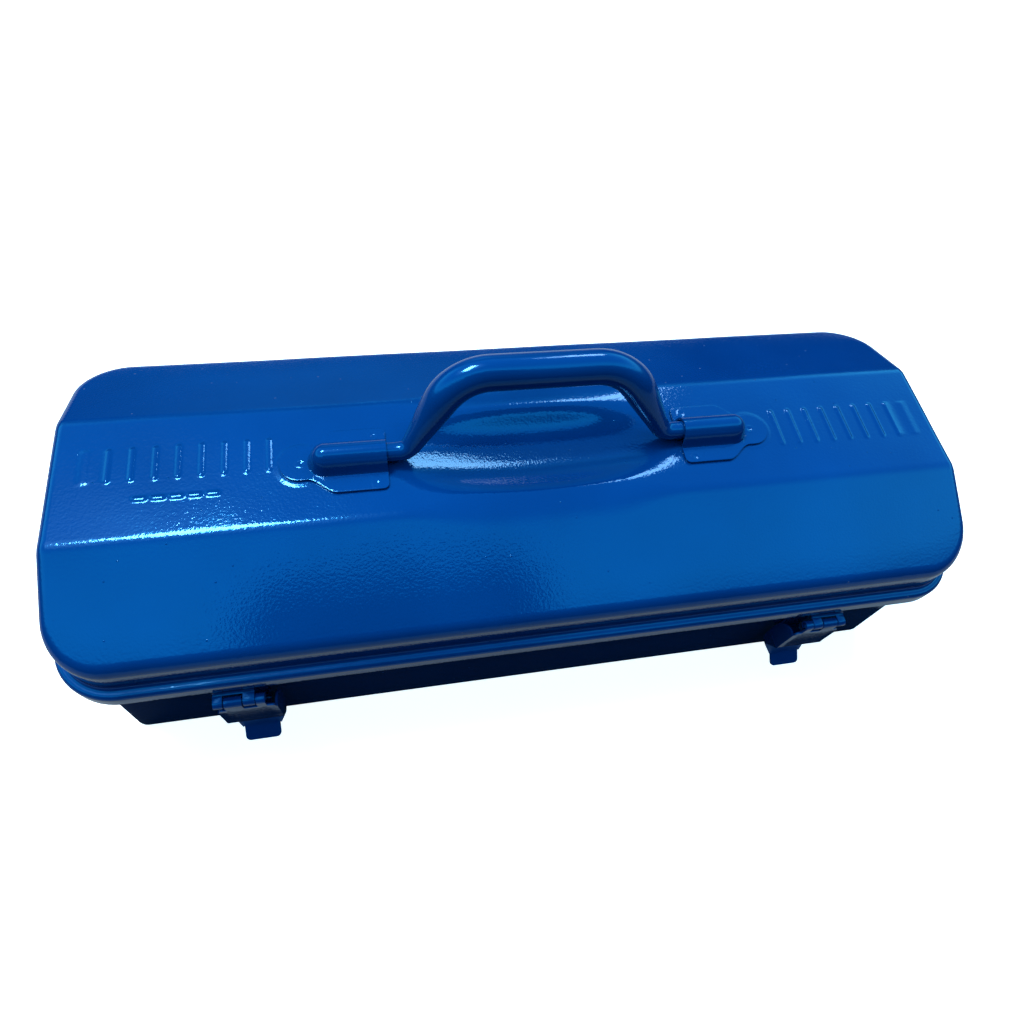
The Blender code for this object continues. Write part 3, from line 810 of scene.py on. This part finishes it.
def make_lever(side, label, material):
    """Pressed lever: curled knuckles, face, hook bend and flared tab, with an ear on each side."""
    rolled, lower = lever_profile()
    profile = rolled + lower
    face_row = len(rolled)
    inner, middle, outer = LEVER_X
    tab_sides = (middle - TAB_HALF_W, middle + TAB_HALF_W)
    columns = sorted({inner, outer, *tab_sides, *LEVER_KNUCKLES[0], *LEVER_KNUCKLES[1]})
    tab_row = face_row + next(k for k, p in enumerate(lower) if p[1] < TAB_TOP_Z)

    def keep(x, row):
        if row < face_row:
            return any(low < x < high for low, high in LEVER_KNUCKLES)
        if row >= tab_row:
            return abs(x - middle) < TAB_HALF_W
        return True

    bm = bmesh.new()
    grid = bent_sheet(bm, profile, columns, keep)
    for row in range(face_row, tab_row + 1):
        narrowing = HOOK_TAPER * corner_share(profile[row][1], profile[tab_row][1])
        for column in range(len(columns)):
            v = grid[column, row]
            spare = abs(v.co.x - middle) - TAB_HALF_W
            if spare > 0.0:
                v.co.x -= math.copysign(spare * narrowing, v.co.x - middle)
    for column in (0, len(columns) - 1):
        roots = [grid[column, row] for row in range(face_row + 1, tab_row + 1)]
        rims = [bm.verts.new((v.co.x, ear_rim(v.co.z, v.co.y), v.co.z)) for v in roots]
        for k in range(len(rims) - 1):
            bm.faces.new((roots[k], roots[k + 1], rims[k + 1], rims[k]))
    bmesh.ops.recalc_face_normals(bm, faces=bm.faces)
    round_corners(bm, 2.2)
    return sheet_piece(bm, side, "lever_skin_" + label, "latch_" + label, "latch_lever_" + label, material)


def corner_share(z, tab_z):
    """Share of the width beyond the tab that the rounded lower corners take away at height z."""
    down = min(1.0, max(0.0, (HOOK_CORNER_Z - z) / (HOOK_CORNER_Z - tab_z)))
    return 1.0 - math.sqrt(1.0 - down ** 2)


def ear_rim(z, root_y):
    """How far back a D-shaped side ear reaches at height z."""
    top, bottom, back = EAR_SPAN
    share = min(1.0, max(0.0, (z - bottom) / (top - bottom)))
    bulge = (1.0 - abs(2.0 * share - 1.0) ** EAR_POWER) ** (1.0 / EAR_POWER)
    return root_y + max(EAR_LEAST, (back - root_y) * bulge)


def make_keeper(side, label, material):
    """Plate on the base wall, bent out into the shelf that the lever's hook catches."""
    wall_y = -(BASE_HALF_W + GAP + 0.5 * LEAF_T)
    corners = [(wall_y, 46.0), (wall_y, 32.0), (wall_y - 6.2, 32.0)]
    profile = [tuple(p) for p in rounded_path(corners, (2.4,), 6)]
    bm = bmesh.new()
    bent_sheet(bm, profile, list(KEEPER_X), lambda x, row: True)
    return sheet_piece(bm, side, "keeper_skin_" + label, "base", "latch_keeper_" + label, material)


def make_pin(name, body, node, ends, axis, material):
    """Pin with slightly domed ends."""
    low, high = sorted(ends)
    dome = 0.35
    shape = [(low, 0.0), (low, PIN_R - dome), (low + 0.12, PIN_R - 0.12), (low + dome, PIN_R),
             (high - dome, PIN_R), (high - 0.12, PIN_R - 0.12), (high, PIN_R - dome), (high, 0.0)]
    sides = 24
    turns = [2.0 * math.pi * k / sides for k in range(sides)]
    bm = bmesh.new()
    loops = []
    for x, r in shape:
        if r == 0.0:
            loops.append([bm.verts.new((x, axis[0], axis[1]))] * sides)
            continue
        ring = [(x, axis[0] + r * math.cos(turn), axis[1] + r * math.sin(turn)) for turn in turns]
        loops.append([bm.verts.new(point) for point in ring])
    for first, second in zip(loops, loops[1:]):
        for k in range(sides):
            j = (k + 1) % sides
            corners = dict.fromkeys((first[k], first[j], second[j], second[k]))
            bm.faces.new(list(corners))
    bmesh.ops.recalc_face_normals(bm, faces=bm.faces)
    return finish_piece(object_from_bmesh(name, bm), body, node, material)


def make_hinge(side, label, material):
    """Butt hinge on the back: leaf on the lid skirt, leaf on the base wall, and the pin."""
    low, high = HINGE_X - HINGE_HALF_W, HINGE_X + HINGE_HALF_W
    split = (HINGE_X - HINGE_KNUCKLE_X, HINGE_X + HINGE_KNUCKLE_X)
    plate_y = HINGE_AXIS[0] - CURL_R
    profile = [(plate_y, STRAP_TOP_Z), (plate_y, HINGE_AXIS[1] + 3.2)] + curl(HINGE_AXIS, 180.0, 290.0)
    columns = [low, split[0] - KNUCKLE_GAP, split[1] + KNUCKLE_GAP, high]
    bm = bmesh.new()
    bent_sheet(bm, profile, columns,
               lambda x, row: row == 0 or not split[0] - KNUCKLE_GAP < x < split[1] + KNUCKLE_GAP)
    round_corners(bm, 2.0)
    sheet_piece(bm, side, "hinge_upper_skin_" + label, "lid", "hinge_lid_leaf_" + label, material)

    wall_y = BASE_HALF_W + GAP + 0.5 * LEAF_T
    arm_z = HINGE_AXIS[1] - CURL_R
    corners = [(wall_y, 42.0), (wall_y, arm_z), (HINGE_AXIS[0] - 0.5, arm_z)]
    arm = [tuple(p) for p in rounded_path(corners, (2.2,), 6)][:-1]
    profile = arm + curl(HINGE_AXIS, -90.0, 270.0)
    bm = bmesh.new()
    columns = [low, split[0], split[1], high]
    bent_sheet(bm, profile, columns, lambda x, row: row == 0 or split[0] < x < split[1])
    round_corners(bm, 2.0)
    sheet_piece(bm, side, "hinge_lower_skin_" + label, "base", "hinge_base_leaf_" + label, material)
    ends = (side * (low - 0.5), side * (high + 0.5))
    make_pin("hinge_pin_skin_" + label, "base", "hinge_pin_" + label, ends, HINGE_AXIS, material)


# ---------------------------------------------------------------- studio
def make_floor():
    """Plain pale paper, lit a little from within so that its shadow stays faint."""
    material = bpy.data.materials.new("floor_paper")
    material.use_nodes = True
    tree = material.node_tree
    shader = tree.nodes["Principled BSDF"]
    shader.inputs["Roughness"].default_value = 0.8
    shader.inputs["Emission Color"].default_value = (1.0, 0.94, 0.91, 1.0)
    shader.inputs["Emission Strength"].default_value = 0.9
    place = new_node(tree, "ShaderNodeTexCoord")
    grain = new_node(tree, "ShaderNodeTexNoise", Scale=40.0, Detail=4.0)
    tree.links.new(place.outputs["Object"], grain.inputs["Vector"])
    tone = new_node(tree, "ShaderNodeValToRGB")
    fill_ramp(tone, ((0.0, (0.80, 0.80, 0.80)), (1.0, (0.84, 0.84, 0.84))))
    tree.links.new(grain.outputs["Fac"], tone.inputs["Fac"])
    tree.links.new(tone.outputs["Color"], shader.inputs["Base Color"])
    bm = bmesh.new()
    bmesh.ops.create_grid(bm, x_segments=2, y_segments=2, size=3.0)
    mesh = bpy.data.meshes.new("floor")
    bm.to_mesh(mesh)
    bm.free()
    mesh.materials.append(material)
    floor = bpy.data.objects.new("floor", mesh)
    floor.location.z = CAD_BOX[0].z - 0.0002
    floor.visible_diffuse = False
    bpy.context.scene.collection.objects.link(floor)


def make_shade_card(name, half_l, half_w, corner_r, centre, rings, dims_diffuse=False):
    """Level dark card with soft borders, hidden from the camera and, unless asked, from diffuse light.

    The rings are (distance out from the plan, strength) pairs.
    """
    material = bpy.data.materials.new(name)
    material.use_nodes = True
    tree = material.node_tree
    tree.nodes.remove(tree.nodes["Principled BSDF"])
    depth = new_node(tree, "ShaderNodeAttribute", attribute_name="shade")
    clear = new_node(tree, "ShaderNodeBsdfTransparent")
    dark = new_node(tree, "ShaderNodeBsdfDiffuse", Color=(0.01, 0.012, 0.016, 1.0))
    mix = new_node(tree, "ShaderNodeMixShader")
    tree.links.new(depth.outputs["Fac"], mix.inputs["Fac"])
    tree.links.new(clear.outputs["BSDF"], mix.inputs[1])
    tree.links.new(dark.outputs["BSDF"], mix.inputs[2])
    tree.links.new(mix.outputs["Shader"], tree.nodes["Material Output"].inputs["Surface"])
    plan = rounded_rectangle(half_l, half_w, corner_r, ROUND_STEPS)
    inner, away = outline_frames(plan[:, 0], plan[:, 1], half_l, half_w, corner_r)
    count = len(plan)
    points = []
    faces = [list(range(count))]
    shade = []
    for k, (offset, strength) in enumerate(rings):
        ring = np.column_stack([inner + away * (corner_r + offset), np.zeros(count)])
        points.append(ring + np.array(centre))
        shade += [strength] * count
        if k:
            first = np.arange((k - 1) * count, k * count)
            faces += band_quads(first, first + count)[:, ::-1].tolist()
    card = object_from_arrays(name, np.concatenate(points), faces)
    card.data.attributes.new("shade", "FLOAT", "POINT").data.foreach_set("value", shade)
    card.data.materials.append(material)
    card.visible_camera = False
    card.visible_diffuse = dims_diffuse
    card.visible_shadow = False


def softbox(name, position, size, power):
    light = bpy.data.lights.new(name, "AREA")
    light.shape = "RECTANGLE"
    light.size, light.size_y = size
    light.energy = power
    lamp = bpy.data.objects.new(name, light)
    lamp.location = position
    lamp.rotation_euler = (Vector(LAMP_AIM) - Vector(position)).to_track_quat("-Z", "Y").to_euler()
    bpy.context.scene.collection.objects.link(lamp)


def make_world():
    """Dim room with a pale ceiling and a soft glow round the lamp; plain white to the camera."""
    world = bpy.data.worlds.new("studio")
    world.use_nodes = True
    tree = world.node_tree
    link = tree.links.new
    place = new_node(tree, "ShaderNodeTexCoord")
    stretch = new_node(tree, "ShaderNodeVectorMath", operation="MULTIPLY")
    stretch.inputs[1].default_value = (CEILING_WIDTH, 1.0, 1.0)
    link(place.outputs["Generated"], stretch.inputs[0])
    unit = new_node(tree, "ShaderNodeVectorMath", operation="NORMALIZE")
    link(stretch.outputs["Vector"], unit.inputs[0])
    height = new_node(tree, "ShaderNodeVectorMath", operation="DOT_PRODUCT")
    height.inputs[1].default_value = Vector(CEILING_AXIS).normalized()
    link(unit.outputs["Vector"], height.inputs[0])
    room = new_node(tree, "ShaderNodeValToRGB")
    fill_ramp(room, ROOM_COLOURS)
    link(height.outputs["Value"], room.inputs["Fac"])

    split = new_node(tree, "ShaderNodeSeparateXYZ")
    link(place.outputs["Generated"], split.inputs["Vector"])
    dusk = new_node(tree, "ShaderNodeValToRGB")
    fill_ramp(dusk, [(rearward, (level, level, level)) for rearward, level in REAR_LEVELS])
    link(split.outputs["Y"], dusk.inputs["Fac"])
    dim = new_node(tree, "ShaderNodeVectorMath", operation="MULTIPLY")
    link(room.outputs["Color"], dim.inputs[0])
    link(dusk.outputs["Color"], dim.inputs[1])

    facing = new_node(tree, "ShaderNodeVectorMath", operation="DOT_PRODUCT")
    facing.inputs[1].default_value = Vector(LAMP_AT).normalized()
    link(place.outputs["Generated"], facing.inputs[0])
    near = new_node(tree, "ShaderNodeMapRange", From_Min=math.cos(GLOW_ANGLE), From_Max=1.0)
    link(facing.outputs["Value"], near.inputs["Value"])
    glow = new_node(tree, "ShaderNodeMath", operation="POWER")
    glow.inputs[1].default_value = 2.0
    link(near.outputs["Result"], glow.inputs[0])
    halo = new_node(tree, "ShaderNodeMix", data_type="RGBA", blend_type="ADD")
    halo.inputs["B"].default_value = GLOW_COLOUR
    link(glow.outputs["Value"], halo.inputs["Factor"])
    link(dim.outputs["Vector"], halo.inputs["A"])

    lit = tree.nodes["Background"]
    link(halo.outputs["Result"], lit.inputs["Color"])
    plain = new_node(tree, "ShaderNodeBackground", Color=(1.0, 1.0, 1.0, 1.0))
    seen = new_node(tree, "ShaderNodeLightPath")
    choose = new_node(tree, "ShaderNodeMixShader")
    link(seen.outputs["Is Camera Ray"], choose.inputs["Fac"])
    link(lit.outputs["Background"], choose.inputs[1])
    link(plain.outputs["Background"], choose.inputs[2])
    link(choose.outputs["Shader"], tree.nodes["World Output"].inputs["Surface"])
    bpy.context.scene.world = world


def make_camera():
    camera = bpy.data.cameras.new("camera")
    camera.lens = CAMERA_LENS
    camera.sensor_width = CAMERA_SENSOR
    camera.clip_start = 0.01
    holder = bpy.data.objects.new("camera", camera)
    holder.location = CAMERA_AT
    holder.rotation_euler = Euler([math.radians(a) for a in CAMERA_TURN], "XYZ")
    bpy.context.scene.collection.objects.link(holder)
    bpy.context.scene.camera = holder


def make_studio():
    make_floor()
    # Dark card of painted floor shade round the base, seen only in reflections
    make_shade_card("floor_shade", BASE_HALF_L, BASE_HALF_W, BASE_CORNER_R, SHADE_CENTRE, SHADE_RINGS)
    make_shade_card("flag", *FLAG_PLAN, FLAG_CENTRE, FLAG_RINGS, dims_diffuse=True)
    make_world()
    softbox("overhead", LAMP_AT, LAMP_SIZE, LAMP_POWER)
    softbox("window", WINDOW_AT, WINDOW_SIZE, WINDOW_POWER)
    make_camera()
    bpy.context.scene.view_settings.view_transform = "Standard"


def main():
    pressed = enamel("enamel_pressed")
    fittings = enamel("enamel_fittings", peel=0.7)
    make_lid(pressed)
    make_base(pressed)
    make_handle(enamel("enamel_handle", peel=0.5))
    for side, label in ((-1, "left"), (1, "right")):
        make_bracket(side, label, fittings)
        make_strap(side, label, fittings)
        make_lever(side, label, fittings)
        make_keeper(side, label, fittings)
        pin_ends = (side * LEVER_KNUCKLES[0][0], side * STRAP_X[3])
        make_pin("latch_pin_skin_" + label, "lid", "latch_pin_" + label, pin_ends, LATCH_AXIS, fittings)
        make_hinge(side, label, fittings)
    make_studio()


main()
